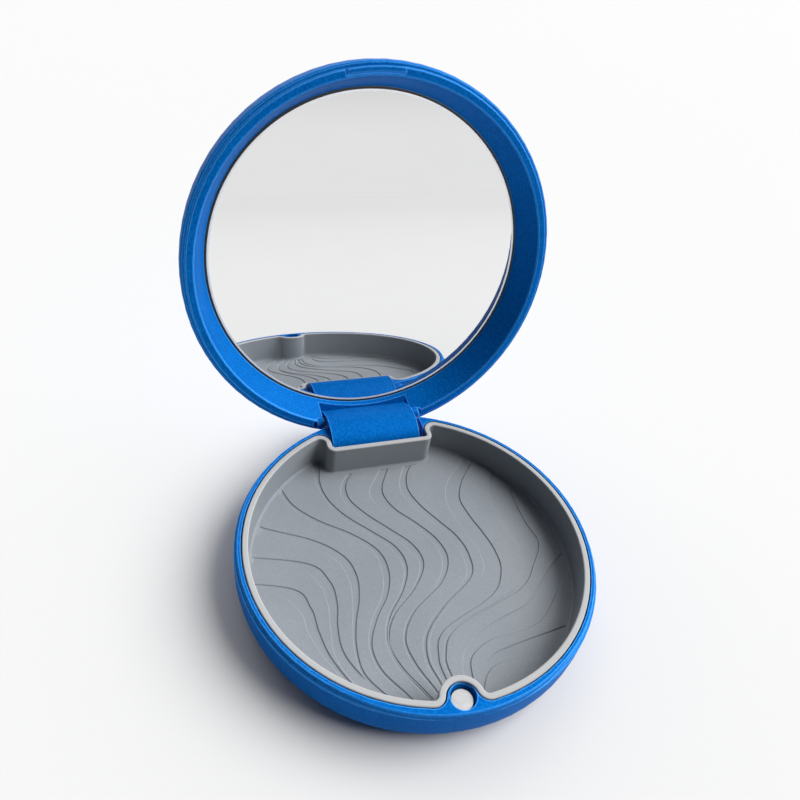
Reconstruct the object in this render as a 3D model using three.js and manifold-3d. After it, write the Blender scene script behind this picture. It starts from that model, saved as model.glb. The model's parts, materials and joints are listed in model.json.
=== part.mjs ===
// Round hinged tray case, lid standing open: a shallow moulded base with a grey inner tray,
// and a cap lid with a round mirror. Millimetres, +Z up. The origin is the centre of the flat
// foot, the hinge is at +Y and the catch at -Y.
import * as THREE from 'three';
import { mergeVertices } from 'three/addons/utils/BufferGeometryUtils.js';
import Module from 'manifold-3d';

const wasm = await Module();
wasm.setup();

// Overall size
const TURN_STEPS = 72;
const GAP = 0.3;
const RIM_Z = 12.8;
const BASE_R = 42.85;
const FOOT_R = 35;
const WALL_STRAIGHT = 4.9;
const WALL_POWER = 0.8;

// Grey tray
const TRAY_R = 41.0;
const TRAY_WALL = 1.4;
const TRAY_FLOOR_TOP = RIM_Z - 8.6;
const TRAY_FLOOR_THICK = 1.5;
const TRAY_COVE = 1.1;
const NOTCH_HALF = 13.3;
const NOTCH_Y = 32.2;
const NOTCH_TOP_R = 3.0;
const NOTCH_LOW_R = 0.8;

// Wave lines of the tray floor: the x of each line at evenly spaced y, from the back to the front
const WAVE_DEPTH = 0.3;
const WAVE_CLEAR = 0.4;
const WAVE_TOP_Y = 34;
const WAVE_ROW = 6;
const WAVE_SUBSTEPS = 3;
const WAVE_MIN_WIDTH = 0.4;
const WAVE_LINES = {
  l1: [-90, -90, -90, -90, -75, -55, -36, -30, -29.1, -27.2, -24.2, -20.5, -17],
  r1: [-90, -90, -90, -90, -72, -50, -30.9, -27.3, -26.8, -25.8, -23.4, -20, -16.5],
  l2: [-90, -90, -85, -68, -50, -29.8, -24.3, -23.4, -24.2, -24.7, -22.9, -19, -15],
  r2: [-90, -90, -80, -62, -44, -26, -21.6, -21.2, -22.5, -22.7, -20.3, -15.8, -11.3],
  l3: [-80, -68, -52, -38.5, -27, -19.3, -17.1, -17.6, -19.1, -20.3, -20.1, -17, -14],
  r3: [-75, -60, -43, -33.5, -22.6, -16.6, -15, -16, -18.3, -19.7, -19.5, -16, -12.5],
  l4: [-30.5, -28.7, -26.5, -22, -14.6, -9.4, -8.8, -10.4, -14.7, -17, -16.3, -12.8, -9.3],
  r4: [-28.6, -27.5, -25.5, -20.4, -12.9, -8, -7.1, -9, -13.4, -16.3, -15.7, -12.2, -8.7],
  l5: [-17.5, -18.2, -16.9, -14.6, -9.7, -4.9, -3.3, -5.9, -10.9, -13, -12.2, -9.3, -6.4],
  r5: [-16, -17.2, -16.3, -13.1, -8, -3.3, -2.4, -5.2, -10.2, -12.6, -11.8, -8.8, -5.8],
  l6: [-4, -10.8, -12.7, -9.9, -5.9, -1.2, 0.8, -2.9, -9.9, -12.6, -11.8, -8.8, -5.8],
  r6: [-2.5, -9.6, -11, -8.1, -3.4, 1, 1.9, -2.2, -9.3, -12.3, -11.4, -8.4, -5.4],
  l7: [3.5, -1.5, -5.2, -3.1, 2.6, 6.1, 6.7, 3.2, -5.2, -9, -8.9, -6.7, -4.5],
  r7: [5.5, 1.1, -1.6, -0.1, 4.3, 7.7, 8.3, 4.5, -4.3, -8.5, -8.2, -6.1, -4],
  l8: [10.5, 5.7, 3.4, 4.8, 8.3, 11, 12.3, 10.6, 2, -4.1, -5.9, -4.8, -3.8],
  r8: [13.2, 7.5, 5.5, 6.9, 10, 13.1, 14, 12.2, 3.3, -3.2, -5.2, -4.3, -3.7],
  l9: [30, 23, 17, 14.5, 14.7, 15.9, 16.9, 15, 4.6, -2.4, -4.6, -3.8, -3.2],
  r9: [33, 27, 21.5, 18.4, 18.8, 20.2, 21.1, 20.2, 15.2, 0.8, -2.8, -2.9, -3],
  l10: [44, 36, 30, 27, 26.3, 27, 27.7, 26.1, 20.5, 3.3, -1.6, -2, -2.8],
  r10: [48, 42, 37, 34, 33, 33, 33.5, 29.2, 22.5, 4, -1.1, -1.5, -2.4],
};
// The lines that fan out to the right of the catch, as points from the right wall to the front
const FAN_LINES = {
  l11: [
    [44, -3], [34, -9], [28, -13.7], [22.5, -18], [15, -20.1], [9, -22.3], [4, -25.3], [1.6, -29], [1, -34],
  ],
  r11: [
    [48, -8], [36, -12.5], [31, -17], [25, -22.3], [19, -24.2], [11, -24.6], [6, -26.5], [3.6, -29], [2.6, -34],
  ],
  l12: [[50, -21], [36, -24.5], [27, -25.7], [18, -26.7], [11, -27.7], [8, -29], [6, -31], [3, -34.5]],
  r12: [[50, -35], [30, -32.6], [20, -31.2], [13, -30.3], [8.5, -30.8], [5.8, -32.7], [3.5, -36.5]],
};
// A channel lies between each pair of lines, l1 and r1 to l10 and r10, and l11 and r11 to l12 and r12
const WAVE_CHANNELS = 10;
const FAN_CHANNELS = [11, 12];

// Catch at the front: magnet pocket, thumb land and lid tab
const CATCH_X = -4.0;
const MAGNET_Y = -39.15;
const BUMP_Y = -39.3;
const BUMP_R = 3.45;
const BUMP_FILLET = 2.6;
const MAGNET_R = 2.4;
const MAGNET_THICK = 1.3;
const MAGNET_TOP = RIM_Z - 1.1;
const MAGNET_GAP = 0.2;
const DISH_R = 2.7;
const DISH_SHIFT = 0.25;
const LAND_SHIFT = 3;
const LAND_DEPTH = 2;

// Hinge, set a little to one side of the middle of the notch
const HINGE_X = -0.7;
const HINGE_Y = 42.84;
const HINGE_Z = RIM_Z - 0.91;
const OPEN_DEG = 102.4;
const PIN_R = 0.6;
const PIN_RUN = 0.06;
const PIN_HALF = 14.4;
const BLOCK_HALF = 12.2;
const WELL_HALF = 13.1;
const EAR_INNER = 12.75;
const EAR_OUTER = 14.6;
const EAR_R = 1.4;
const BUSH_R = 0.95;

// Lid, given as if it were shut
const LID_R = 47.56;
const LID_RIM_Z = RIM_Z - 1.5;
const LID_INNER_R = 44.35;
const LID_TOP = 11.6;
const LID_TOP_R = 35;
const LID_SEAT = 9.9;
const MIRROR_R = 41.15;
const MIRROR_FRONT = 8.0;
const MIRROR_BACK = 9.0;
const MIRROR_BEVEL = 0.6;
const MIRROR_BEVEL_DROP = 0.25;
const SEAT_R = 41.55;
const RING_IN_R = 38.1;
const RING_OUT_R = 40.9;
const TAPE_R = 37.4;
const SLOT_TOP = RIM_Z + 5.1;
const TAB_LEN = 13.4;
const TAB_X = -2.9;
const TAB_ARC_R = 45.85;
const TAB_HALF = 0.62;
const TAB_GAP = 0.25;

function finish(geometry) {
  const bare = geometry.index ? geometry.toNonIndexed() : geometry.clone();
  bare.deleteAttribute('normal');
  bare.deleteAttribute('uv');
  return mergeVertices(bare, 1e-4);
}

function solid(geometry) {
  const g = finish(geometry);
  const raw = Array.from(g.index.array);
  const tris = [];
  for (let i = 0; i < raw.length; i += 3) {
    const [a, b, c] = [raw[i], raw[i + 1], raw[i + 2]];
    if (a !== b && b !== c && a !== c) {
      tris.push(a, b, c);
    }
  }
  const vertProperties = new Float32Array(g.attributes.position.array);
  const build = (list) => new wasm.Manifold(
    new wasm.Mesh({ numProp: 3, vertProperties, triVerts: new Uint32Array(list) }),
  );
  const first = build(tris);
  if (first.volume() > 0) {
    return first;
  }
  return build(tris.reverse());
}

function toGeometry(body) {
  const mesh = body.getMesh();
  const g = new THREE.BufferGeometry();
  g.setAttribute('position', new THREE.BufferAttribute(new Float32Array(mesh.vertProperties), 3));
  g.setIndex(new THREE.BufferAttribute(new Uint32Array(mesh.triVerts), 1));
  return g;
}

function turned(points, steps = TURN_STEPS) {
  const profile = points.map(([r, z]) => new THREE.Vector2(r, z));
  const g = new THREE.LatheGeometry(profile, steps);
  g.rotateX(Math.PI / 2);
  return solid(g);
}

function prism(points, z0, z1) {
  const shape = new THREE.Shape(points.map(([x, y]) => new THREE.Vector2(x, y)));
  const g = new THREE.ExtrudeGeometry(shape, { depth: z1 - z0, bevelEnabled: false });
  g.translate(0, 0, z0);
  return solid(g);
}

function box(x0, x1, y0, y1, z0, z1) {
  const g = new THREE.BoxGeometry(x1 - x0, y1 - y0, z1 - z0);
  g.translate((x0 + x1) / 2, (y0 + y1) / 2, (z0 + z1) / 2);
  return solid(g);
}

// Rod along X through the hinge axis or any other (y, z)
function rod(r, x0, x1, y, z, steps = 36) {
  const g = new THREE.CylinderGeometry(r, r, x1 - x0, steps);
  g.rotateZ(Math.PI / 2);
  g.translate((x0 + x1) / 2, y, z);
  return solid(g);
}

// Profile in (y, z) pulled along X
function alongX(points, x0, x1) {
  const shape = new THREE.Shape(points.map(([y, z]) => new THREE.Vector2(y, z)));
  const g = new THREE.ExtrudeGeometry(shape, { depth: x1 - x0, bevelEnabled: false });
  g.rotateY(Math.PI / 2);
  g.rotateX(Math.PI / 2);
  g.translate(x0, 0, 0);
  return solid(g);
}

function arc(cx, cy, r, from, to, steps) {
  const points = [];
  for (let i = 0; i <= steps; i += 1) {
    const a = from + ((to - from) * i) / steps;
    points.push([cx + r * Math.cos(a), cy + r * Math.sin(a)]);
  }
  return points;
}

// Plan outline of the tray, moved inwards by `inset`: a circle with a notch for the hinge at
// the back and a rounded bump around the magnet at the front.
function trayOutline(inset) {
  const bigR = TRAY_R - inset;
  const bumpR = BUMP_R + inset;
  const fillet = Math.max(BUMP_FILLET - inset, 0.2);
  const bumpDist = Math.hypot(CATCH_X, BUMP_Y);
  const bumpAngle = Math.atan2(BUMP_Y, CATCH_X) + 2 * Math.PI;
  const ringDist = bigR - fillet;
  const reach = bumpR + fillet;
  const spread = Math.acos(
    (bumpDist ** 2 + ringDist ** 2 - reach ** 2) / (2 * bumpDist * ringDist),
  );
  const leftC = [ringDist * Math.cos(bumpAngle - spread), ringDist * Math.sin(bumpAngle - spread)];
  const rightC = [ringDist * Math.cos(bumpAngle + spread), ringDist * Math.sin(bumpAngle + spread)];
  const bumpFrom = Math.atan2(leftC[1] - BUMP_Y, leftC[0] - CATCH_X);
  const bumpTo = Math.atan2(rightC[1] - BUMP_Y, rightC[0] - CATCH_X);
  const leftTurn = bumpFrom < 0 ? bumpFrom + 2 * Math.PI : bumpFrom;
  const topR = Math.max(NOTCH_TOP_R - inset, 0.2);
  const lowR = NOTCH_LOW_R + inset;
  const halfW = NOTCH_HALF + inset;
  const faceY = NOTCH_Y - inset;
  const topCx = halfW + topR;
  const topCy = Math.sqrt((bigR - topR) ** 2 - topCx ** 2);
  const topAngle = Math.atan2(topCy, topCx);
  const leftEnd = bumpAngle - spread;
  const rightStart = bumpAngle + spread - 2 * Math.PI;
  return [
    ...arc(-topCx, topCy, topR, 0, Math.PI - topAngle, 5),
    ...arc(0, 0, bigR, Math.PI - topAngle, leftEnd, 24).slice(1),
    ...arc(leftC[0], leftC[1], fillet, leftEnd, leftTurn + Math.PI, 6).slice(1),
    ...arc(CATCH_X, BUMP_Y, bumpR, leftTurn, bumpTo, 14).slice(1),
    ...arc(rightC[0], rightC[1], fillet, bumpTo - Math.PI, rightStart, 6).slice(1),
    ...arc(0, 0, bigR, rightStart, topAngle, 24).slice(1),
    ...arc(topCx, topCy, topR, topAngle, Math.PI, 5).slice(1),
    ...arc(halfW - lowR, faceY + lowR, lowR, 0, -Math.PI / 2, 4),
    ...arc(-halfW + lowR, faceY + lowR, lowR, -Math.PI / 2, -Math.PI, 4),
  ];
}

// Outside of the base below the rim: straight wall, then a full round to the flat foot
function baseOutline(grow) {
  const points = [[0, 0]];
  const steps = 9;
  for (let i = steps; i >= 0; i -= 1) {
    const a = ((Math.PI / 2) * i) / steps;
    const r = FOOT_R + (BASE_R - FOOT_R) * Math.cos(a) ** WALL_POWER;
    const z = RIM_Z - WALL_STRAIGHT - (RIM_Z - WALL_STRAIGHT) * Math.sin(a) ** WALL_POWER;
    points.push([r + grow, z]);
  }
  return points;
}

function ringSector(r0, r1, mid, half, steps) {
  const outer = arc(0, 0, r1, mid - half, mid + half, steps);
  const inner = arc(0, 0, r0, mid + half, mid - half, steps);
  return new THREE.Shape([...outer, ...inner].map(([x, y]) => new THREE.Vector2(x, y)));
}

// Around the catch the rim has no step. The land is a smaller round moved towards the catch,
// so it is level with the wall there and runs out into the step on both sides.
function thumbLand() {
  const r = BASE_R - LAND_SHIFT - 0.02;
  const away = LAND_SHIFT / Math.hypot(CATCH_X, MAGNET_Y);
  return turned([
    [0, RIM_Z - LAND_DEPTH],
    [r, RIM_Z - LAND_DEPTH],
    [r, RIM_Z - 0.5],
    [r - 0.1, RIM_Z - 0.22],
    [r - 0.24, RIM_Z - 0.08],
    [r - 0.45, RIM_Z],
    [0, RIM_Z],
  ], 144).translate([CATCH_X * away, MAGNET_Y * away, 0]);
}

// Bore for the magnet, opening into a shallow dish that is deeper towards the tray
function magnetPocket() {
  const bottom = MAGNET_TOP - MAGNET_THICK - GAP;
  const boreR = MAGNET_R + MAGNET_GAP;
  const bore = turned([[0, bottom], [boreR, bottom], [boreR, RIM_Z], [0, RIM_Z]], 32)
    .translate([CATCH_X, MAGNET_Y, 0]);
  const low = turned([
    [0, MAGNET_TOP - 0.4],
    [boreR, MAGNET_TOP - 0.4],
    [boreR, MAGNET_TOP - 0.2],
    [0, MAGNET_TOP - 0.2],
  ], 32).translate([CATCH_X, MAGNET_Y, 0]);
  const high = turned([[0, RIM_Z], [DISH_R, RIM_Z], [DISH_R, RIM_Z + 1], [0, RIM_Z + 1]], 32)
    .translate([CATCH_X + DISH_SHIFT, MAGNET_Y + DISH_SHIFT, 0]);
  return bore.add(wasm.Manifold.hull([low, high]));
}

function baseShell() {
  const body = turned([
    ...baseOutline(0),
    [BASE_R, RIM_Z - 1.5],
    [BASE_R - 0.12, RIM_Z - 1.22],
    [BASE_R - 0.4, RIM_Z - 1.1],
    [BASE_R - 0.6, RIM_Z - 1.05],
    [BASE_R - 0.66, RIM_Z - 0.25],
    [BASE_R - 0.76, RIM_Z - 0.08],
    [BASE_R - 0.95, RIM_Z],
    [0, RIM_Z],
  ]);
  const floorZ = TRAY_FLOOR_TOP - TRAY_FLOOR_THICK - GAP;
  const cavity = prism(trayOutline(-GAP), floorZ, RIM_Z + 5);
  const well = box(-WELL_HALF, WELL_HALF, NOTCH_Y - 2, 60, floorZ, RIM_Z + 5);
  return body.add(thumbLand()).subtract(cavity).subtract(well).subtract(magnetPocket());
}

// Smooth line through a few points
function smoothLine(points) {
  const line = [];
  for (let i = 0; i < points.length - 1; i += 1) {
    const before = points[Math.max(i - 1, 0)];
    const from = points[i];
    const to = points[i + 1];
    const after = points[Math.min(i + 2, points.length - 1)];
    for (let k = 0; k < WAVE_SUBSTEPS; k += 1) {
      const t = k / WAVE_SUBSTEPS;
      line.push([0, 1].map((n) => {
        const bend = 3 * (from[n] - to[n]) + after[n] - before[n];
        const lean = 2 * before[n] - 5 * from[n] + 4 * to[n] - after[n];
        return from[n] + 0.5 * t * (to[n] - before[n] + t * (lean + t * bend));
      }));
    }
  }
  return [...line, points[points.length - 1]];
}

function rowLine(xs) {
  return smoothLine(xs.map((x, row) => [x, WAVE_TOP_Y - WAVE_ROW * row]));
}

function channel(leftEdge, rightEdge) {
  const outline = [...leftEdge, ...[...rightEdge].reverse()];
  return prism(outline, TRAY_FLOOR_TOP - WAVE_DEPTH, TRAY_FLOOR_TOP + 1);
}

function waveChannel(number) {
  const leftEdge = rowLine(WAVE_LINES[`l${number}`]);
  const rightEdge = rowLine(WAVE_LINES[`r${number}`])
    .map(([x, y], i) => [Math.max(x, leftEdge[i][0] + WAVE_MIN_WIDTH), y]);
  return channel(leftEdge, rightEdge);
}

function fanChannel(number) {
  return channel(smoothLine(FAN_LINES[`l${number}`]), smoothLine(FAN_LINES[`r${number}`]));
}

function trayCavity() {
  const shape = new THREE.Shape(trayOutline(TRAY_WALL).map(([x, y]) => new THREE.Vector2(x, y)));
  const g = new THREE.ExtrudeGeometry(shape, {
    depth: 12,
    bevelThickness: TRAY_COVE,
    bevelSize: TRAY_COVE,
    bevelOffset: -TRAY_COVE,
    bevelSegments: 3,
  });
  g.translate(0, 0, TRAY_FLOOR_TOP + TRAY_COVE);
  return solid(g);
}

function trayLiner() {
  const block = prism(trayOutline(0), TRAY_FLOOR_TOP - TRAY_FLOOR_THICK, RIM_Z);
  const field = prism(
    trayOutline(TRAY_WALL + TRAY_COVE + WAVE_CLEAR),
    TRAY_FLOOR_TOP - WAVE_DEPTH - 0.1,
    TRAY_FLOOR_TOP + 0.5,
  );
  let tray = block.subtract(trayCavity());
  for (let number = 1; number <= WAVE_CHANNELS; number += 1) {
    tray = tray.subtract(waveChannel(number).intersect(field));
  }
  for (const number of FAN_CHANNELS) {
    tray = tray.subtract(fanChannel(number).intersect(field));
  }
  return tray;
}

function magnet() {
  const disc = turned([
    [0, MAGNET_TOP - MAGNET_THICK],
    [MAGNET_R, MAGNET_TOP - MAGNET_THICK],
    [MAGNET_R, MAGNET_TOP - 0.15],
    [MAGNET_R - 0.15, MAGNET_TOP],
    [0, MAGNET_TOP],
  ], 40);
  return disc.translate([CATCH_X, MAGNET_Y, 0]);
}

// Curved hinge block in the notch of the base: its front drops to the tray wall, its back
// slopes down over the pin and ends in a rounded lip inside the slot of the lid.
function hingeBlock() {
  const bottom = TRAY_FLOOR_TOP - TRAY_FLOOR_THICK;
  const over = new THREE.CatmullRomCurve3([
    new THREE.Vector3(32.6, 9.6, 0),
    new THREE.Vector3(33.2, 11.6, 0),
    new THREE.Vector3(34.4, 13.05, 0),
    new THREE.Vector3(36.6, 14.3, 0),
    new THREE.Vector3(39.3, 14.75, 0),
    new THREE.Vector3(42.2, 14.35, 0),
    new THREE.Vector3(45.2, 13.1, 0),
    new THREE.Vector3(47.8, 11.5, 0),
    new THREE.Vector3(48.35, 10.9, 0),
    new THREE.Vector3(48.1, 10.3, 0),
    new THREE.Vector3(46.6, 8.9, 0),
    new THREE.Vector3(44.4, 7.8, 0),
    new THREE.Vector3(42.0, 7.4, 0),
  ], false, 'centripetal').getPoints(40).map((p) => [p.x, p.y]);
  const body = alongX([[32.6, bottom], ...over, [42.0, bottom]], HINGE_X - BLOCK_HALF, HINGE_X + BLOCK_HALF);
  const bore = rod(PIN_R + 0.12, -20, 20, HINGE_Y, HINGE_Z);
  const within = turned([...baseOutline(0), [BASE_R, 7.4], [56, 7.4], [56, RIM_Z + 8], [0, RIM_Z + 8]]);
  return body.intersect(within).subtract(bore);
}

function hingePin() {
  return rod(PIN_R, HINGE_X - PIN_HALF, HINGE_X + PIN_HALF, HINGE_Y, HINGE_Z);
}

function hingeBushing(side) {
  const x0 = HINGE_X + side * (EAR_INNER + 0.1);
  const x1 = HINGE_X + side * (EAR_OUTER - 0.2);
  const [a, b] = [Math.min(x0, x1), Math.max(x0, x1)];
  const hole = rod(PIN_R + PIN_RUN, a - 1, b + 1, HINGE_Y, HINGE_Z);
  return rod(BUSH_R, a, b, HINGE_Y, HINGE_Z).subtract(hole);
}

function lidDome() {
  const points = [];
  const steps = 9;
  for (let i = 0; i <= steps; i += 1) {
    const a = ((Math.PI / 2) * i) / steps;
    const r = LID_TOP_R + (LID_R - LID_TOP_R) * Math.sin(a) ** 0.8;
    const z = LID_RIM_Z + 3.4 + (LID_TOP - 3.4) * Math.cos(a) ** 0.8;
    points.push([r, z]);
  }
  return points;
}

function ear(side) {
  const x0 = HINGE_X + (side > 0 ? EAR_INNER : -EAR_OUTER);
  const x1 = x0 + EAR_OUTER - EAR_INNER;
  const eye = rod(EAR_R, x0, x1, HINGE_Y, HINGE_Z);
  const neck = box(x0, x1, HINGE_Y - 0.6, HINGE_Y + EAR_R, HINGE_Z, SLOT_TOP - 2);
  return eye.add(neck);
}

function lidShell() {
  const z = LID_RIM_Z;
  const body = turned([
    [0, z + LID_TOP],
    ...lidDome(),
    [LID_R, z + 1.5],
    [LID_R - 0.12, z + 1.0],
    [LID_R - 0.45, z + 0.68],
    [LID_R - 0.9, z + 0.6],
    [LID_R - 1.12, z + 0.55],
    [LID_R - 1.2, z + 0.15],
    [LID_R - 1.35, z],
    [LID_INNER_R + 0.3, z],
    [LID_INNER_R, z + 0.3],
    [LID_INNER_R - 0.9, z + 2.6],
    [LID_INNER_R - 1.8, z + 5.2],
    [SEAT_R + 0.15, z + MIRROR_FRONT - 0.3],
    [SEAT_R, z + MIRROR_FRONT],
    [SEAT_R, z + LID_SEAT],
    [0, z + LID_SEAT],
  ]);
  const slot = box(HINGE_X - EAR_INNER, HINGE_X + EAR_INNER, HINGE_Y - 8, 60, z - 4, SLOT_TOP);
  const bore = rod(BUSH_R + 0.12, HINGE_X - EAR_OUTER - 1, HINGE_X + EAR_OUTER + 1, HINGE_Y, HINGE_Z);
  const tabSeat = tabBand(TAB_GAP, 0, z - 1, z + 0.5);
  return body.add(ear(-1)).add(ear(1)).subtract(slot).subtract(bore).subtract(tabSeat);
}

function mirror() {
  const z = LID_RIM_Z;
  return turned([
    [0, z + MIRROR_FRONT],
    [MIRROR_R - MIRROR_BEVEL, z + MIRROR_FRONT],
    [MIRROR_R, z + MIRROR_FRONT + MIRROR_BEVEL_DROP],
    [MIRROR_R, z + MIRROR_BACK],
    [0, z + MIRROR_BACK],
  ]);
}

// Rubber ring behind the edge of the mirror
function mirrorGasket() {
  const low = LID_RIM_Z + MIRROR_BACK + 0.25;
  const high = LID_RIM_Z + LID_SEAT - 0.25;
  const ring = turned([[0, low], [RING_OUT_R, low], [RING_OUT_R, high], [0, high]]);
  return ring.subtract(turned([[0, low - 1], [RING_IN_R, low - 1], [RING_IN_R, high + 1], [0, high + 1]]));
}

function mirrorTape() {
  const low = LID_RIM_Z + MIRROR_BACK + 0.25;
  const high = LID_RIM_Z + LID_SEAT - 0.25;
  return turned([[0, low], [TAPE_R, low], [TAPE_R, high], [0, high]], 48);
}

// Band that follows the curve of the rim at the catch, `grow` larger than the tab all round
function tabBand(grow, bevel, z0, z1) {
  const mid = Math.atan2(-TAB_ARC_R, TAB_X);
  const half = (TAB_LEN / 2 + grow) / TAB_ARC_R;
  const shape = ringSector(TAB_ARC_R - TAB_HALF - grow, TAB_ARC_R + TAB_HALF + grow, mid, half, 10);
  const g = new THREE.ExtrudeGeometry(shape, {
    depth: z1 - z0 - 2 * bevel,
    bevelEnabled: bevel > 0,
    bevelThickness: bevel,
    bevelSize: bevel,
    bevelOffset: -bevel,
    bevelSegments: 3,
  });
  g.translate(0, 0, z0 + bevel);
  return solid(g);
}

// Rounded tab let into the rim of the lid
function catchTab() {
  return tabBand(0, 0.35, LID_RIM_Z - 0.8, LID_RIM_Z + 0.25);
}

function piece(name, body, colour, roughness, metalness) {
  const material = new THREE.MeshStandardMaterial({ color: colour, roughness, metalness });
  const mesh = new THREE.Mesh(toGeometry(body), material);
  mesh.name = name;
  return mesh;
}

const BLUE = 0x0a5cc0;
const GREY = 0x8c9498;

const base = new THREE.Group();
base.name = 'base';
base.add(piece('base_shell', baseShell(), BLUE, 0.5, 0));
base.add(piece('tray_liner', trayLiner(), GREY, 0.75, 0));
base.add(piece('catch_magnet', magnet(), 0xd9dadb, 0.25, 1));
base.add(piece('hinge_block', hingeBlock(), BLUE, 0.5, 0));
base.add(piece('hinge_pin', hingePin(), 0xb9bcc0, 0.3, 1));

const lidPieces = [
  piece('lid_shell', lidShell(), BLUE, 0.5, 0),
  piece('lid_mirror', mirror(), 0xe8ebee, 0.03, 1),
  piece('mirror_gasket', mirrorGasket(), 0x111214, 0.7, 0),
  piece('mirror_tape', mirrorTape(), 0xe4e4e0, 0.9, 0),
  piece('catch_tab', catchTab(), BLUE, 0.5, 0),
  piece('hinge_bushing_left', hingeBushing(-1), 0xe9e6dc, 0.5, 0),
  piece('hinge_bushing_right', hingeBushing(1), 0xe9e6dc, 0.5, 0),
];

const lid = new THREE.Group();
lid.name = 'lid';
lid.position.set(0, HINGE_Y, HINGE_Z);
lid.rotation.x = (-OPEN_DEG * Math.PI) / 180;
lidPieces.forEach((mesh) => {
  mesh.geometry.translate(0, -HINGE_Y, -HINGE_Z);
  lid.add(mesh);
});

const part = new THREE.Group();
part.name = 'hinged_tray_case';
part.add(base, lid);

export default part;
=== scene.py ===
import json
import math

import bmesh
import bpy
import numpy as np
from mathutils import Matrix, Vector
from mathutils.geometry import delaunay_2d_cdt

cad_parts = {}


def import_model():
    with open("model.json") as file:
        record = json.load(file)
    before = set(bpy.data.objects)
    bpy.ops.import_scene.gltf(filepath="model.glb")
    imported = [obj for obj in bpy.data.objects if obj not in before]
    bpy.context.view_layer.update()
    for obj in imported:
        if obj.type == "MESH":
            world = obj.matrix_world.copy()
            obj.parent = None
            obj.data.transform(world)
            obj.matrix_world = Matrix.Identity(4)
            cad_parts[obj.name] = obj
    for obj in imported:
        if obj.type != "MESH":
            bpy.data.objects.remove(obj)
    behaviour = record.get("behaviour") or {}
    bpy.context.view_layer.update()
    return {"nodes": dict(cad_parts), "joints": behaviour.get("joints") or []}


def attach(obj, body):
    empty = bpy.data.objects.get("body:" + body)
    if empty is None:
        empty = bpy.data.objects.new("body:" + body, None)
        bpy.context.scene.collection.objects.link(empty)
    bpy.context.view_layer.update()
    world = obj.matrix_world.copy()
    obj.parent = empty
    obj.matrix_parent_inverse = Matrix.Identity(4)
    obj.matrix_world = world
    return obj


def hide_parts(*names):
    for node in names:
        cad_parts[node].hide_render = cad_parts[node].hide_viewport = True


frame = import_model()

MM = 0.001
TRAY_RIM = 12.8
SCENE = bpy.context.scene
SCENE.view_settings.view_transform = "Standard"


# ---------------------------------------------------------------- node helpers
NOISE_LOW = 0.3
NOISE_HIGH = 0.7
EDGE_SAMPLES = 4
COLOUR_A, COLOUR_B, COLOUR_RESULT = 6, 7, 2


def map_range(tree, value, low, high, out_low, out_high, interpolation="LINEAR"):
    """Maps low..high to out_low..out_high in a node tree, and holds the ends."""
    node = tree.nodes.new("ShaderNodeMapRange")
    node.interpolation_type = interpolation
    tree.links.new(value, node.inputs["Value"])
    ends = {"From Min": low, "From Max": high, "To Min": out_low, "To Max": out_high}
    for key, number in ends.items():
        node.inputs[key].default_value = number
    return node.outputs["Result"]


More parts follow.
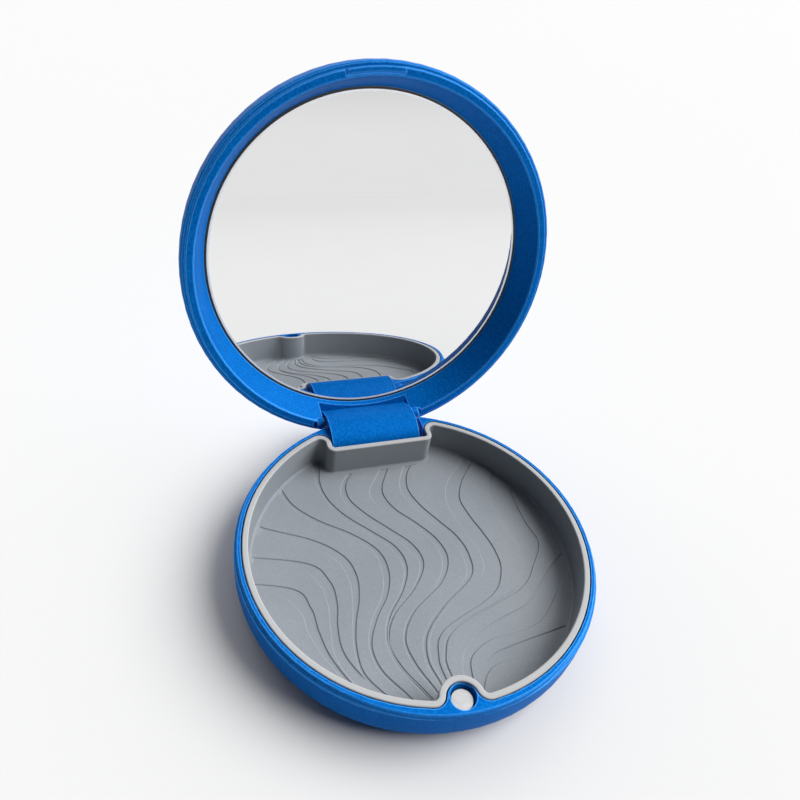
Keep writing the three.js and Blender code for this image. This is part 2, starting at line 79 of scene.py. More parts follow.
class Tree:
    """A material's node tree, with short calls to add and join nodes."""

    def __init__(self, name):
        self.material = bpy.data.materials.new(name)
        self.material.use_nodes = True
        self.nodes = self.material.node_tree.nodes
        self.links = self.material.node_tree.links
        self.shader = self.nodes["Principled BSDF"]
        self.coords = self.nodes.new("ShaderNodeTexCoord").outputs["Object"]

    def set(self, **values):
        for key, value in values.items():
            self.shader.inputs[key.replace("_", " ")].default_value = value

    def join(self, source, target):
        self.links.new(source, target)

    def noise(self, scale, detail=2.0, roughness=0.5, stretch=None):
        node = self.nodes.new("ShaderNodeTexNoise")
        node.inputs["Scale"].default_value = scale
        node.inputs["Detail"].default_value = detail
        node.inputs["Roughness"].default_value = roughness
        if stretch:
            mapping = self.nodes.new("ShaderNodeMapping")
            mapping.inputs["Scale"].default_value = stretch
            self.join(self.coords, mapping.inputs["Vector"])
            self.join(mapping.outputs["Vector"], node.inputs["Vector"])
        else:
            self.join(self.coords, node.inputs["Vector"])
        return node.outputs["Fac"]

    def remap(self, value, low, high, out_low, out_high):
        return map_range(self.material.node_tree, value, low, high, out_low, out_high)

    def spread(self, noise, out_low=0.0, out_high=1.0):
        """Stretches a noise, which stays near its middle, over out_low to out_high."""
        return self.remap(noise, NOISE_LOW, NOISE_HIGH, out_low, out_high)

    def along(self, axis):
        """The point's X, Y or Z in metres, in the frame at rest."""
        split = self.nodes.new("ShaderNodeSeparateXYZ")
        self.join(self.coords, split.inputs[0])
        return split.outputs[axis]

    def mix(self, factor, a, b):
        """a and b are colours or outputs; several sockets share a name, so these go by number."""
        node = self.nodes.new("ShaderNodeMix")
        node.data_type = "RGBA"
        self.join(factor, node.inputs["Factor"])
        for socket, colour in ((node.inputs[COLOUR_A], a), (node.inputs[COLOUR_B], b)):
            if isinstance(colour, tuple):
                socket.default_value = (*colour, 1.0)
            else:
                self.join(colour, socket)
        return node.outputs[COLOUR_RESULT]

    def edge(self, radius, strength):
        """0 on flat areas, rising to 1 on rounded edges; a higher strength gets there sooner."""
        bevel = self.nodes.new("ShaderNodeBevel")
        bevel.samples = EDGE_SAMPLES
        bevel.inputs["Radius"].default_value = radius
        geometry = self.nodes.new("ShaderNodeNewGeometry")
        dot = self.nodes.new("ShaderNodeVectorMath")
        dot.operation = "DOT_PRODUCT"
        self.join(bevel.outputs["Normal"], dot.inputs[0])
        self.join(geometry.outputs["True Normal"], dot.inputs[1])
        return self.remap(dot.outputs["Value"], 1.0, 1.0 - 1.0 / strength, 0.0, 1.0)

    def bump(self, layers):
        """layers is a list of (height, strength, distance), coarse first."""
        normal = None
        for height, strength, distance in layers:
            node = self.nodes.new("ShaderNodeBump")
            node.inputs["Strength"].default_value = strength
            node.inputs["Distance"].default_value = distance
            self.join(height, node.inputs["Height"])
            if normal:
                self.join(normal, node.inputs["Normal"])
            normal = node.outputs["Normal"]
        self.join(normal, self.shader.inputs["Normal"])

    def colour(self, value):
        self.join(value, self.shader.inputs["Base Color"])

    def rough(self, value):
        self.join(value, self.shader.inputs["Roughness"])


# ---------------------------------------------------------------- materials
def blue_plastic():
    """Moulded blue plastic with a spark-eroded grain, and edges lightened partly as rubbed wear and
    partly as a painted highlight.
    """
    t = Tree("blue_moulded_plastic")
    cloud = t.noise(90.0, 3.0, 0.6)
    grain = t.noise(2000.0, 2.0, 0.6)
    pits = t.noise(5200.0, 1.0, 0.5)
    base = t.mix(t.spread(cloud), (0.0006, 0.106, 0.400), (0.0008, 0.118, 0.436))
    dark = t.mix(t.remap(grain, 0.30, 0.48, 0.50, 0.0), base, (0.0002, 0.056, 0.260))
    flecked = t.mix(t.remap(grain, 0.52, 0.72, 0.0, 0.55), dark, (0.004, 0.200, 0.620))
    # Rounded edges turn a paler blue: partly rubbed wear, partly a painted highlight line along the
    # rims.
    edges = t.remap(t.edge(0.42 * MM, 14.0), 0.05, 0.8, 0.0, 0.85)
    t.colour(t.mix(edges, flecked, (0.070, 0.360, 0.900)))
    t.rough(t.spread(grain, 0.36, 0.52))
    t.set(IOR=1.48, Specular_IOR_Level=0.03, Specular_Tint=(0.22, 0.58, 1.0, 1.0), Metallic=0.12)
    t.bump([(grain, 0.9, 0.12 * MM), (pits, 0.35, 0.025 * MM)])
    return t.material


def grey_silicone():
    """Soft grey tray rubber, matt with a fine eroded grain, with painted light making its rim top paler.
    """
    t = Tree("grey_silicone")
    cloud = t.noise(60.0, 3.0, 0.6)
    grain = t.noise(2500.0, 2.0, 0.65)
    dust = t.noise(7000.0, 1.0, 0.5)
    base = t.mix(t.spread(cloud), (0.212, 0.232, 0.256), (0.236, 0.256, 0.279))
    dark = t.mix(t.remap(grain, 0.28, 0.46, 0.30, 0.0), base, (0.150, 0.167, 0.188))
    flecked = t.mix(t.remap(grain, 0.54, 0.76, 0.0, 0.35), dark, (0.305, 0.326, 0.349))
    # Painted light: the top of the rim, where it catches the key, is painted paler.
    rim_z = TRAY_RIM * MM
    rim = t.remap(t.along("Z"), rim_z - 0.45 * MM, rim_z - 0.15 * MM, 0.0, 0.8)
    t.colour(t.mix(rim, flecked, (0.424, 0.426, 0.424)))
    t.rough(t.spread(dust, 0.62, 0.80))
    t.set(IOR=1.41, Specular_IOR_Level=0.22)
    t.bump([(grain, 0.5, 0.06 * MM), (dust, 0.25, 0.015 * MM)])
    return t.material


def nickel_plate():
    """Bright nickel on the magnet, with hair scratches."""
    t = Tree("nickel_plate")
    cloud = t.noise(700.0, 3.0, 0.6)
    scratch = t.noise(900.0, 4.0, 0.7, stretch=(1.0, 14.0, 1.0))
    t.colour(t.mix(t.spread(cloud), (0.34, 0.34, 0.345), (0.40, 0.40, 0.405)))
    t.rough(t.spread(scratch, 0.34, 0.44))
    t.set(Metallic=1.0)
    t.bump([(scratch, 0.04, 0.004 * MM)])
    return t.material


def drawn_steel():
    """Drawn steel of the hinge pin, with fine rings round it."""
    t = Tree("drawn_steel")
    rings = t.noise(1200.0, 3.0, 0.6, stretch=(6.0, 0.4, 0.4))
    t.colour(t.mix(rings, (0.46, 0.47, 0.49), (0.62, 0.63, 0.65)))
    t.rough(t.spread(rings, 0.24, 0.42))
    t.set(Metallic=1.0)
    t.bump([(rings, 0.2, 0.01 * MM)])
    return t.material


def silvered_glass():
    """Mirror, with a very faint wipe haze."""
    t = Tree("silvered_glass")
    haze = t.noise(70.0, 4.0, 0.6, stretch=(1.0, 1.0, 3.0))
    t.colour(t.mix(t.spread(haze), (0.878, 0.880, 0.881), (0.890, 0.892, 0.893)))
    t.rough(t.remap(haze, 0.45, 0.75, 0.0, 0.018))
    t.set(Metallic=1.0)
    return t.material


def ground_glass():
    """Frosted white bevel round the mirror."""
    t = Tree("ground_glass")
    grain = t.noise(5000.0, 2.0, 0.6)
    t.colour(t.mix(grain, (0.80, 0.81, 0.82), (0.92, 0.92, 0.92)))
    t.rough(t.spread(grain, 0.35, 0.55))
    t.bump([(grain, 0.2, 0.01 * MM)])
    return t.material


def black_rubber():
    """Black sealing ring."""
    t = Tree("black_rubber")
    grain = t.noise(4000.0, 2.0, 0.6)
    t.colour(t.mix(grain, (0.006, 0.006, 0.007), (0.016, 0.016, 0.017)))
    t.rough(t.spread(grain, 0.5, 0.7))
    t.bump([(grain, 0.3, 0.02 * MM)])
    return t.material


def foam_tape():
    """White closed-cell foam of the tape behind the mirror."""
    t = Tree("foam_tape")
    cells = t.noise(2500.0, 3.0, 0.7)
    t.colour(t.mix(cells, (0.62, 0.62, 0.58), (0.80, 0.80, 0.77)))
    t.rough(t.spread(cells, 0.8, 0.95))
    t.bump([(cells, 0.5, 0.05 * MM)])
    return t.material


def white_nylon():
    """Natural nylon of the hinge sleeves."""
    t = Tree("white_nylon")
    cloud = t.noise(500.0, 3.0, 0.6)
    t.colour(t.mix(cloud, (0.66, 0.64, 0.57), (0.76, 0.74, 0.68)))
    t.rough(t.spread(cloud, 0.35, 0.5))
    t.set(Subsurface_Weight=0.05)
    t.bump([(cloud, 0.15, 0.03 * MM)])
    return t.material


def paper_floor():
    """Plain pale studio floor, with painted shade making it a little darker towards the front."""
    t = Tree("studio_floor")
    grain = t.noise(900.0, 2.0, 0.5)
    # Painted shade: the floor darkens towards the front, standing in for light falling off, and the
    # mirror shows it.
    front = t.remap(t.along("Y"), -0.25, -1.6, 0.0, 1.0)
    paper = t.mix(grain, (0.604, 0.604, 0.604), (0.616, 0.616, 0.616))
    t.colour(t.mix(front, paper, (0.545, 0.545, 0.545)))
    t.rough(t.spread(grain, 0.82, 0.9))
    t.set(Specular_IOR_Level=0.1)
    return t.material


# ---------------------------------------------------------------- mesh helpers
WELD = 0.002 * MM
FLAT_ANGLE = math.radians(0.6)
EDGE_ANGLE = math.radians(32.0)
SHARP_ANGLE = 38.0
FACE_AREA_WEIGHT = 100


def weighted(piece):
    """Large flat faces keep flat shading; only the rounded edges shade smoothly."""
    modifier = piece.modifiers.new("weighted_normals", "WEIGHTED_NORMAL")
    modifier.weight = FACE_AREA_WEIGHT
    modifier.keep_sharp = True


def add_piece(name, bm, node, sharp=SHARP_ANGLE):
    """Turns a bmesh (metres) into a piece that stands for a CAD node; sharp is in degrees."""
    mesh = bpy.data.meshes.new(name)
    bm.to_mesh(mesh)
    bm.free()
    mesh.shade_smooth()
    mesh.set_sharp_from_angle(angle=math.radians(sharp))
    piece = bpy.data.objects.new(name, mesh)
    SCENE.collection.objects.link(piece)
    weighted(piece)
    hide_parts(node)
    return piece


def soften(node, width, segments):
    """A finer copy of a CAD node: welded, with its sharp edges rounded to width (metres)."""
    bm = bmesh.new()
    bm.from_mesh(frame["nodes"][node].data)
    bmesh.ops.remove_doubles(bm, verts=bm.verts, dist=WELD)
    bmesh.ops.dissolve_limit(
        bm, angle_limit=FLAT_ANGLE, verts=bm.verts, edges=bm.edges, use_dissolve_boundaries=False
    )
    sharp = [e for e in bm.edges if len(e.link_faces) == 2 and e.calc_face_angle(0.0) > EDGE_ANGLE]
    bmesh.ops.bevel(
        bm, geom=sharp, offset=width, offset_type="OFFSET", segments=segments,
        profile=0.5, affect="EDGES", clamp_overlap=True, loop_slide=True,
    )
    return add_piece(node + "_surface", bm, node)


def paint(piece, material):
    piece.data.materials.clear()
    piece.data.materials.append(material)


def dress(piece, material, body):
    """Gives a new piece its material and slot, and the CAD body that it rides on."""
    paint(piece, material)
    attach(piece, body)


def add_ring(bm, points, z):
    return [bm.verts.new((x * MM, y * MM, z * MM)) for x, y in points]


def bridge(bm, low, high):
    """Joins two rings of the same count; low to high, counter-clockwise rings give outward faces."""
    count = len(low)
    for k in range(count):
        n = (k + 1) % count
        bm.faces.new((low[k], low[n], high[n], high[k]))


# ---------------------------------------------------------------- the grey tray
# Sizes in millimetres; angles of shading in degrees
TRAY_R = 41.0
TRAY_WALL = 1.4
TRAY_FLOOR = 4.2
TRAY_UNDER = 2.7
TRAY_COVE = 0.7
TRAY_FOOT_CHAMFER = 0.3
TRAY_RIM_ROUND = 0.32
NOTCH_HALF = 13.3
NOTCH_Y = 32.2
NOTCH_TOP_R = 3.0
NOTCH_FOOT_R = 0.8
BUMP = (-4.0, -39.3)
BUMP_R = 3.45
BUMP_FILLET = 2.6
SMALLEST_R = 0.2
FILLET_STEPS, WALL_STEPS, BUMP_STEPS, CORNER_STEPS = 12, 72, 32, 10
TRAY_WELD = 0.004 * MM
TRAY_SHARP_ANGLE = 24.0

WAVE_DEPTH = 0.24
WAVE_SLOPE = 0.11
WAVE_MIN_WIDTH = 0.42
WAVE_TOP_Y = 34.0
WAVE_ROW = 6.0
WAVE_STEP = 0.5
WAVE_MARGIN = 0.25
WAVE_REACH = 50.0
WAVE_CURVE_STEPS = 60
# The two sides of each channel: X in mm at rows WAVE_ROW apart, from WAVE_TOP_Y towards the catch
WAVE_LINES = {
    "l1": (-90, -90, -90, -90, -75, -55, -36, -30, -29.1, -27.2, -24.2, -20.5, -17),
    "r1": (-90, -90, -90, -90, -72, -50, -30.9, -27.3, -26.8, -25.8, -23.4, -20, -16.5),
    "l2": (-90, -90, -85, -68, -50, -29.8, -24.3, -23.4, -24.2, -24.7, -22.9, -19, -15),
    "r2": (-90, -90, -80, -62, -44, -26, -21.6, -21.2, -22.5, -22.7, -20.3, -15.8, -11.3),
    "l3": (-80, -68, -52, -38.5, -27, -19.3, -17.1, -17.6, -19.1, -20.3, -20.1, -17, -14),
    "r3": (-75, -60, -43, -33.5, -22.6, -16.6, -15, -16, -18.3, -19.7, -19.5, -16, -12.5),
    "l4": (-30.5, -28.7, -26.5, -22, -14.6, -9.4, -8.8, -10.4, -14.7, -17, -16.3, -12.8, -9.3),
    "r4": (-28.6, -27.5, -25.5, -20.4, -12.9, -8, -7.1, -9, -13.4, -16.3, -15.7, -12.2, -8.7),
    "l5": (-17.5, -18.2, -16.9, -14.6, -9.7, -4.9, -3.3, -5.9, -10.9, -13, -12.2, -9.3, -6.4),
    "r5": (-16, -17.2, -16.3, -13.1, -8, -3.3, -2.4, -5.2, -10.2, -12.6, -11.8, -8.8, -5.8),
    "l6": (-4, -10.8, -12.7, -9.9, -5.9, -1.2, 0.8, -2.9, -9.9, -12.6, -11.8, -8.8, -5.8),
    "r6": (-2.5, -9.6, -11, -8.1, -3.4, 1, 1.9, -2.2, -9.3, -12.3, -11.4, -8.4, -5.4),
    "l7": (3.5, -1.5, -5.2, -3.1, 2.6, 6.1, 6.7, 3.2, -5.2, -9, -8.9, -6.7, -4.5),
    "r7": (5.5, 1.1, -1.6, -0.1, 4.3, 7.7, 8.3, 4.5, -4.3, -8.5, -8.2, -6.1, -4),
    "l8": (10.5, 5.7, 3.4, 4.8, 8.3, 11, 12.3, 10.6, 2, -4.1, -5.9, -4.8, -3.8),
    "r8": (13.2, 7.5, 5.5, 6.9, 10, 13.1, 14, 12.2, 3.3, -3.2, -5.2, -4.3, -3.7),
    "l9": (30, 23, 17, 14.5, 14.7, 15.9, 16.9, 15, 4.6, -2.4, -4.6, -3.8, -3.2),
    "r9": (33, 27, 21.5, 18.4, 18.8, 20.2, 21.1, 20.2, 15.2, 0.8, -2.8, -2.9, -3),
    "l10": (44, 36, 30, 27, 26.3, 27, 27.7, 26.1, 20.5, 3.3, -1.6, -2, -2.8),
    "r10": (48, 42, 37, 34, 33, 33, 33.5, 29.2, 22.5, 4, -1.1, -1.5, -2.4),
}
# The channels that fan out to the right are nearly level, so theirs are whole (X, Y) points
FAN_LINES = {
    "l11": (
        (44, -3), (34, -9), (28, -13.7), (22.5, -18), (15, -20.1),
        (9, -22.3), (4, -25.3), (1.6, -29), (1, -34),
    ),
    "r11": (
        (48, -8), (36, -12.5), (31, -17), (25, -22.3), (19, -24.2),
        (11, -24.6), (6, -26.5), (3.6, -29), (2.6, -34),
    ),
    "l12": (
        (50, -21), (36, -24.5), (27, -25.7), (18, -26.7),
        (11, -27.7), (8, -29), (6, -31), (3, -34.5),
    ),
    "r12": (
        (50, -35), (30, -32.6), (20, -31.2), (13, -30.3),
        (8.5, -30.8), (5.8, -32.7), (3.5, -36.5),
    ),
}
WAVE_CHANNELS = 12
KEEP_TRIANGLES_INSIDE = 1
TRIANGLE_TOLERANCE = 0.01


def arc(cx, cy, r, start, end, steps):
    turns = [start + (end - start) * i / steps for i in range(steps + 1)]
    return [(cx + r * math.cos(turn), cy + r * math.sin(turn)) for turn in turns]


def tray_outline(inset):
    """Plan outline of the tray, counter-clockwise: a circle with the hinge notch and the magnet bump."""
    big = TRAY_R - inset
    bump = BUMP_R + inset
    fillet = max(BUMP_FILLET - inset, SMALLEST_R)
    far = math.hypot(*BUMP)
    mid = math.atan2(BUMP[1], BUMP[0]) + 2 * math.pi
    ring = big - fillet
    reach = bump + fillet
    spread = math.acos((far ** 2 + ring ** 2 - reach ** 2) / (2 * far * ring))
    left = (ring * math.cos(mid - spread), ring * math.sin(mid - spread))
    right = (ring * math.cos(mid + spread), ring * math.sin(mid + spread))
    bump_from = math.atan2(left[1] - BUMP[1], left[0] - BUMP[0]) % (2 * math.pi)
    bump_to = math.atan2(right[1] - BUMP[1], right[0] - BUMP[0])
    top_r = max(NOTCH_TOP_R - inset, SMALLEST_R)
    low_r = NOTCH_FOOT_R + inset
    half = NOTCH_HALF + inset
    face = NOTCH_Y - inset
    cx = half + top_r
    cy = math.sqrt((big - top_r) ** 2 - cx ** 2)
    top = math.atan2(cy, cx)
    left_end = mid - spread
    right_start = mid + spread - 2 * math.pi
    return (
        arc(-cx, cy, top_r, 0, math.pi - top, FILLET_STEPS)
        + arc(0, 0, big, math.pi - top, left_end, WALL_STEPS)[1:]
        + arc(*left, fillet, left_end, bump_from + math.pi, FILLET_STEPS)[1:]
        + arc(*BUMP, bump, bump_from, bump_to, BUMP_STEPS)[1:]
        + arc(*right, fillet, bump_to - math.pi, right_start, FILLET_STEPS)[1:]
        + arc(0, 0, big, right_start, top, WALL_STEPS)[1:]
        + arc(cx, cy, top_r, top, math.pi, FILLET_STEPS)[1:]
        + arc(half - low_r, face + low_r, low_r, 0, -math.pi / 2, CORNER_STEPS)
        + arc(-half + low_r, face + low_r, low_r, -math.pi / 2, -math.pi, CORNER_STEPS)
    )


def wave_points(knots):
    """Catmull-Rom line through a few (x, y) points, evenly spaced along its length."""
    knots = np.array(knots, float)
    dense = []
    for row in range(len(knots) - 1):
        a, b = knots[max(row - 1, 0)], knots[row]
        c, d = knots[row + 1], knots[min(row + 2, len(knots) - 1)]
        for k in range(WAVE_CURVE_STEPS):
            t = k / WAVE_CURVE_STEPS
            bend = 2 * a - 5 * b + 4 * c - d + t * (3 * (b - c) + d - a)
            dense.append(b + 0.5 * t * (c - a + t * bend))
    dense = np.array(dense)
    dense = dense[np.hypot(dense[:, 0], dense[:, 1]) < WAVE_REACH]
    length = np.concatenate([[0.0], np.cumsum(np.hypot(*np.diff(dense, axis=0).T))])
    at = np.arange(0.0, length[-1], WAVE_STEP)
    return np.column_stack([np.interp(at, length, dense[:, 0]), np.interp(at, length, dense[:, 1])])


def line_distance(points, line):
    """Signed distance of points to a line that runs towards -Y: positive on its +X side."""
    a, b = line[:-1], line[1:]
    d = b - a
    away = points[:, None, :] - a[None]
    t = np.clip((away * d).sum(2) / (d * d).sum(1), 0.0, 1.0)
    off = away - t[:, :, None] * d
    distance = np.hypot(off[:, :, 0], off[:, :, 1])
    best = distance.argmin(1)
    rows = np.arange(len(points))
    cross = d[best, 0] * away[rows, best, 1] - d[best, 1] * away[rows, best, 0]
    return np.where(cross > 0, 1.0, -1.0) * distance[rows, best]


def smooth_step(t):
    t = np.clip(t, 0.0, 1.0)
    return t * t * (3.0 - 2.0 * t)


def outline_distance(points, outline):
    """Distance of points to a closed outline: positive inside it."""
    a = np.array(outline)
    b = np.roll(a, -1, axis=0)
    d = b - a
    away = points[:, None, :] - a[None]
    t = np.clip((away * d).sum(2) / (d * d).sum(1), 0.0, 1.0)
    off = away - t[:, :, None] * d
    near = np.hypot(off[:, :, 0], off[:, :, 1]).min(1)
    x, y = points[:, 0][:, None], points[:, 1][:, None]
    spans = (a[:, 1] > y) != (b[:, 1] > y)
    never_zero = 1e-12
    meets = d[:, 0] * (y - a[:, 1]) / (d[:, 1] + never_zero) + a[:, 0]
    return np.where((spans & (x < meets)).sum(1) % 2 == 1, near, -near)


def wave_depth(points, lines, border):
    """Depth of the wave channels under the tray floor at plan points (mm)."""
    depth = np.zeros(len(points))
    away = {name: line_distance(points, line) for name, line in lines.items()}
    for number in range(1, WAVE_CHANNELS + 1):
        left, right = away[f"l{number}"], away[f"r{number}"]
        gap = np.maximum(WAVE_MIN_WIDTH - (left - right), 0.0)
        inside = smooth_step((left + WAVE_SLOPE) / (2 * WAVE_SLOPE))
        inside *= smooth_step((gap - right + WAVE_SLOPE) / (2 * WAVE_SLOPE))
        depth = np.maximum(depth, inside)
    return WAVE_DEPTH * depth * smooth_step(border / WAVE_MARGIN)


def tray_floor(bm, outline):
    """Floor inside the outline, meshed along both sides of every channel."""
    rows = {
        name: [(x, WAVE_TOP_Y - WAVE_ROW * row) for row, x in enumerate(places)]
        for name, places in WAVE_LINES.items()
    }
    lines = {name: wave_points(knots) for name, knots in {**rows, **FAN_LINES}.items()}
    verts = [Vector(p) for p in outline]
    face = list(range(len(verts)))
    edges = []
    for line in lines.values():
        tangent = np.gradient(line, axis=0)
        tangent /= np.hypot(tangent[:, 0], tangent[:, 1])[:, None]
        side = np.column_stack([-tangent[:, 1], tangent[:, 0]])
        for shift in (-WAVE_SLOPE, 0.0, WAVE_SLOPE):
            moved = line + side * shift
            keep = outline_distance(moved, outline) > WAVE_MARGIN * 0.5
            last = None
            for point, ok in zip(moved, keep):
                if not ok:
                    last = None
                    continue
                verts.append(Vector(point))
                if last is not None:
                    edges.append((last, len(verts) - 1))
                last = len(verts) - 1
    result = delaunay_2d_cdt(verts, edges, [face], KEEP_TRIANGLES_INSIDE, TRIANGLE_TOLERANCE, False)
    points = np.array([tuple(v) for v in result[0]])
    depth = wave_depth(points, lines, outline_distance(points, outline))
    made = [
        bm.verts.new((x * MM, y * MM, (TRAY_FLOOR - d) * MM)) for (x, y), d in zip(points, depth)
    ]
    for tri in result[2]:
        bm.faces.new([made[i] for i in tri])


def tray_piece():
    """Tray liner: wall with a rounded rim, tight cove, and the wave lines of the floor."""
    bm = bmesh.new()
    turn = [math.radians(a) for a in range(0, 91, 15)]
    rim_r = TRAY_RIM_ROUND
    section = [(TRAY_FOOT_CHAMFER, TRAY_UNDER), (0.0, TRAY_UNDER + TRAY_FOOT_CHAMFER)]
    section += [(rim_r * (1 - math.cos(a)), TRAY_RIM - rim_r * (1 - math.sin(a))) for a in turn]
    section += [
        (TRAY_WALL - rim_r * (1 - math.sin(a)), TRAY_RIM - rim_r * (1 - math.cos(a))) for a in turn
    ]
    section += [
        (TRAY_WALL + TRAY_COVE * (1 - math.cos(a)), TRAY_FLOOR + TRAY_COVE * (1 - math.sin(a)))
        for a in turn
    ]
    rings = [add_ring(bm, tray_outline(inset), z) for inset, z in section]
    for low, high in zip(rings, rings[1:]):
        bridge(bm, low, high)
    bm.faces.new(list(reversed(rings[0])))
    tray_floor(bm, tray_outline(section[-1][0]))
    bmesh.ops.remove_doubles(bm, verts=bm.verts, dist=TRAY_WELD)
    bmesh.ops.recalc_face_normals(bm, faces=bm.faces)
    return add_piece("tray_liner_surface", bm, "tray_liner", TRAY_SHARP_ANGLE)


# ---------------------------------------------------------------- mirror and its seal
LID_HINGE = frame["joints"][0]
HINGE = Vector(LID_HINGE["pos_m"])
OPEN = Matrix.Rotation(math.radians(-LID_HINGE["range_deg"][1]), 4, "X")
LID_TURN = Matrix.Translation(HINGE) @ OPEN @ Matrix.Translation(-HINGE)
LID_RIM = 11.3
MIRROR_R = 41.15
MIRROR_FRONT = LID_RIM + 8.0
MIRROR_BACK = LID_RIM + 9.0
MIRROR_BEVEL = 0.7
MIRROR_BEVEL_DROP = 0.05
MIRROR_EDGE = 0.08
MIRROR_EDGE_DROP = 0.13
MIRROR_BACK_CHAMFER = 0.1
MIRROR_SHARP_ANGLE = 8.0
MIRROR_STEPS = 192
GASKET_R = 41.5
GASKET_WALL_R = 41.18
GASKET_LIP_R = 40.94
GASKET_SEAT_R = 38.1
GASKET_TOP = MIRROR_FRONT - 0.14
GASKET_LIP_UNDER = MIRROR_FRONT - 0.03
GASKET_SEAT = MIRROR_FRONT + 1.25
GASKET_BACK = MIRROR_FRONT + 1.6
GASKET_ROUND = (0.06, 0.05)
GASKET_OUTER_ROUND = (0.08, 0.08)
GASKET_SHARP_ANGLE = 30.0
GASKET_STEPS = 160


def turned(section, steps):
    """Closed profile of (r, z) in mm on the shut lid, turned about Z and opened to rest."""
    bm = bmesh.new()
    rings = []
    for r, z in section:
        if r == 0:
            rings.append([bm.verts.new(LID_TURN @ Vector((0, 0, z * MM)))])
            continue
        turns = [2 * math.pi * k / steps for k in range(steps)]
        places = [Vector((r * MM * math.cos(a), r * MM * math.sin(a), z * MM)) for a in turns]
        rings.append([bm.verts.new(LID_TURN @ place) for place in places])
    for low, high in zip(rings, rings[1:] + rings[:1]):
        if len(low) == 1 and len(high) == 1:
            continue
        if len(high) == 1:
            bm.faces.new(low)
        elif len(low) == 1:
            bm.faces.new(list(reversed(high)))
        else:
            bridge(bm, low, high)
    loose = [v for v in bm.verts if not v.link_faces]
    bmesh.ops.delete(bm, geom=loose, context="VERTS")
    bmesh.ops.recalc_face_normals(bm, faces=bm.faces)
    return bm


def mirror_piece():
    """Mirror with a narrow sloped bevel round its front."""
    section = [
        (0, MIRROR_FRONT),
        (MIRROR_R - MIRROR_BEVEL, MIRROR_FRONT),
        (MIRROR_R - MIRROR_EDGE, MIRROR_FRONT + MIRROR_BEVEL_DROP),
        (MIRROR_R, MIRROR_FRONT + MIRROR_EDGE_DROP),
        (MIRROR_R, MIRROR_BACK - MIRROR_BACK_CHAMFER),
        (MIRROR_R - MIRROR_BACK_CHAMFER, MIRROR_BACK),
        (0, MIRROR_BACK),
    ]
    mesh = turned(section, MIRROR_STEPS)
    return add_piece("lid_mirror_surface", mesh, "lid_mirror", MIRROR_SHARP_ANGLE)


def gasket_piece():
    """Black ring: a seat behind the mirror, a wall round it and a lip over its bevel."""
    in_r, in_z = GASKET_ROUND
    out_r, out_z = GASKET_OUTER_ROUND
    section = [
        (GASKET_WALL_R, GASKET_LIP_UNDER),
        (GASKET_LIP_R, GASKET_LIP_UNDER),
        (GASKET_LIP_R, GASKET_TOP + in_z),
        (GASKET_LIP_R + in_r, GASKET_TOP),
        (GASKET_R - out_r, GASKET_TOP),
        (GASKET_R, GASKET_TOP + out_z),
        (GASKET_R, GASKET_BACK),
        (GASKET_SEAT_R, GASKET_BACK),
        (GASKET_SEAT_R, GASKET_SEAT),
        (GASKET_WALL_R, GASKET_SEAT),
    ]
    mesh = turned(section, GASKET_STEPS)
    return add_piece("mirror_gasket_surface", mesh, "mirror_gasket", GASKET_SHARP_ANGLE)


# ---------------------------------------------------------------- materials on the pieces
BLUE = blue_plastic()
GREY = grey_silicone()
STEEL = drawn_steel()
NYLON = white_nylon()

LID_SHELL = soften("lid_shell", 0.20 * MM, 3)
CATCH_TAB = soften("catch_tab", 0.08 * MM, 2)
MIRROR = mirror_piece()
GASKET = gasket_piece()
LID_PIECES = [LID_SHELL, CATCH_TAB, MIRROR, GASKET, frame["nodes"]["mirror_tape"]]

dress(soften("base_shell", 0.12 * MM, 2), BLUE, "base")
dress(tray_piece(), GREY, "base")
dress(soften("hinge_block", 0.25 * MM, 3), BLUE, "base")
dress(LID_SHELL, BLUE, "lid")
dress(CATCH_TAB, BLUE, "lid")
dress(soften("catch_magnet", 0.06 * MM, 2), nickel_plate(), "base")
dress(soften("hinge_pin", 0.10 * MM, 3), STEEL, "base")
dress(MIRROR, silvered_glass(), "lid")
MIRROR.data.materials.append(ground_glass())
# All but the mirror's two round faces are ground
for face in MIRROR.data.polygons:
    face.material_index = 1 if len(face.vertices) == 4 else 0
dress(GASKET, black_rubber(), "lid")
paint(frame["nodes"]["mirror_tape"], foam_tape())
paint(frame["nodes"]["hinge_bushing_left"], NYLON)
paint(frame["nodes"]["hinge_bushing_right"], NYLON)


# ---------------------------------------------------------------- studio
FLOOR_HALF = 4.0
KEY_HEIGHT = math.radians(46.0)
KEY_SWING = math.radians(-12.0)
KEY_POWER = 4.4
KEY_SPREAD = math.radians(50.0)
WALL_SWING = math.radians(68.0)
WALL_LIGHT = 1.72
WALL_DARK = 0.02
CARD_LIGHT = 0.835
CAMERA_PLACE = Vector((-0.05236, -0.09242, 0.14414))
CAMERA_TARGET = Vector((0.00062, 0.02621, 0.03280))
CAMERA_ROLL = math.radians(10.08)
CAMERA_LENS = 31.5
CAMERA_SENSOR = 36.0
CAMERA_CLIP = (0.01, 20.0)


def floor():
    mesh = bpy.data.meshes.new("studio_floor")
    half = FLOOR_HALF
    corners = [(-half, -half, 0), (half, -half, 0), (half, half, 0), (-half, half, 0)]
    mesh.from_pydata(corners, [], [(0, 1, 2, 3)])
    plane = bpy.data.objects.new("studio_floor", mesh)
    SCENE.collection.objects.link(plane)
    mesh.materials.append(paper_floor())


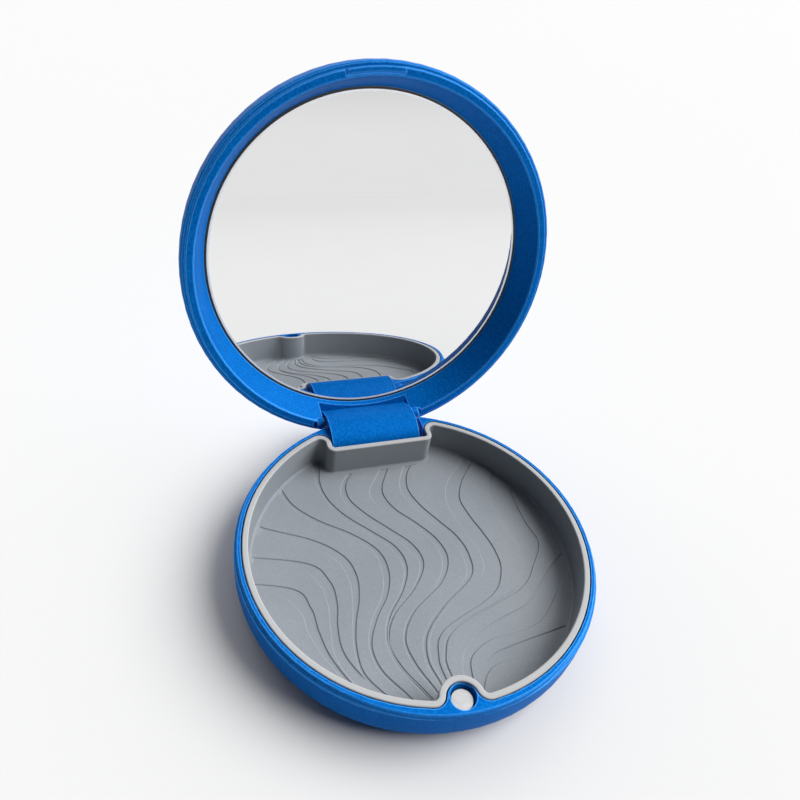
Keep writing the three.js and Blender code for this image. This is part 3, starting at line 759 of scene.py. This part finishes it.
def key_light():
    """One very large soft light on the right. The lid doesn't block it, so it throws no shadow."""
    data = bpy.data.lights.new("key", "SUN")
    data.energy = KEY_POWER
    data.angle = KEY_SPREAD
    lamp = bpy.data.objects.new("key", data)
    level = math.cos(KEY_HEIGHT)
    place = Vector((level * math.cos(KEY_SWING), level * math.sin(KEY_SWING), math.sin(KEY_HEIGHT)))
    lamp.rotation_mode = "QUATERNION"
    lamp.rotation_quaternion = place.to_track_quat("Z", "Y")
    SCENE.collection.objects.link(lamp)
    flagged = bpy.data.collections.new("flagged_off_key")
    for piece in LID_PIECES:
        flagged.objects.link(piece)
    lamp.light_linking.blocker_collection = flagged
    for entry in flagged.collection_objects:
        entry.light_linking.link_state = "EXCLUDE"


def world():
    """Studio walls: bright behind and at the right, dark elsewhere, and a white card low in front."""
    sky = bpy.data.worlds.new("studio_world")
    SCENE.world = sky
    sky.use_nodes = True
    nodes, links = sky.node_tree.nodes, sky.node_tree.links
    split = nodes.new("ShaderNodeSeparateXYZ")
    direction = nodes.new("ShaderNodeTexCoord").outputs["Generated"]
    links.new(direction, split.inputs[0])

    def ramp(value, low, high, out_low, out_high):
        return map_range(sky.node_tree, value, low, high, out_low, out_high, "SMOOTHSTEP")

    def combine(operation, a, b):
        node = nodes.new("ShaderNodeMath")
        node.operation = operation
        links.new(a, node.inputs[0])
        links.new(b, node.inputs[1])
        return node.outputs[0]

    towards_wall = nodes.new("ShaderNodeVectorMath")
    towards_wall.operation = "DOT_PRODUCT"
    links.new(direction, towards_wall.inputs[0])
    towards_wall.inputs[1].default_value = (math.cos(WALL_SWING), math.sin(WALL_SWING), 0.0)
    wall = ramp(towards_wall.outputs["Value"], -0.15, 0.75, WALL_DARK, WALL_LIGHT)
    card_height = ramp(split.outputs["Z"], 0.05, 0.33, CARD_LIGHT, 0.0)
    card = combine("MULTIPLY", card_height, ramp(split.outputs["Y"], -0.35, -0.80, 0.0, 1.0))
    links.new(combine("ADD", wall, card), nodes["Background"].inputs["Strength"])
    nodes["Background"].inputs["Color"].default_value = (1.0, 1.0, 1.0, 1.0)


def camera():
    data = bpy.data.cameras.new("camera")
    data.lens = CAMERA_LENS
    data.sensor_width = CAMERA_SENSOR
    data.clip_start, data.clip_end = CAMERA_CLIP
    eye = bpy.data.objects.new("camera", data)
    aim = (CAMERA_TARGET - CAMERA_PLACE).to_track_quat("-Z", "Y").to_matrix()
    turn = aim @ Matrix.Rotation(CAMERA_ROLL, 3, "Z")
    eye.matrix_world = Matrix.Translation(CAMERA_PLACE) @ turn.to_4x4()
    SCENE.collection.objects.link(eye)
    SCENE.camera = eye


floor()
world()
key_light()
camera()
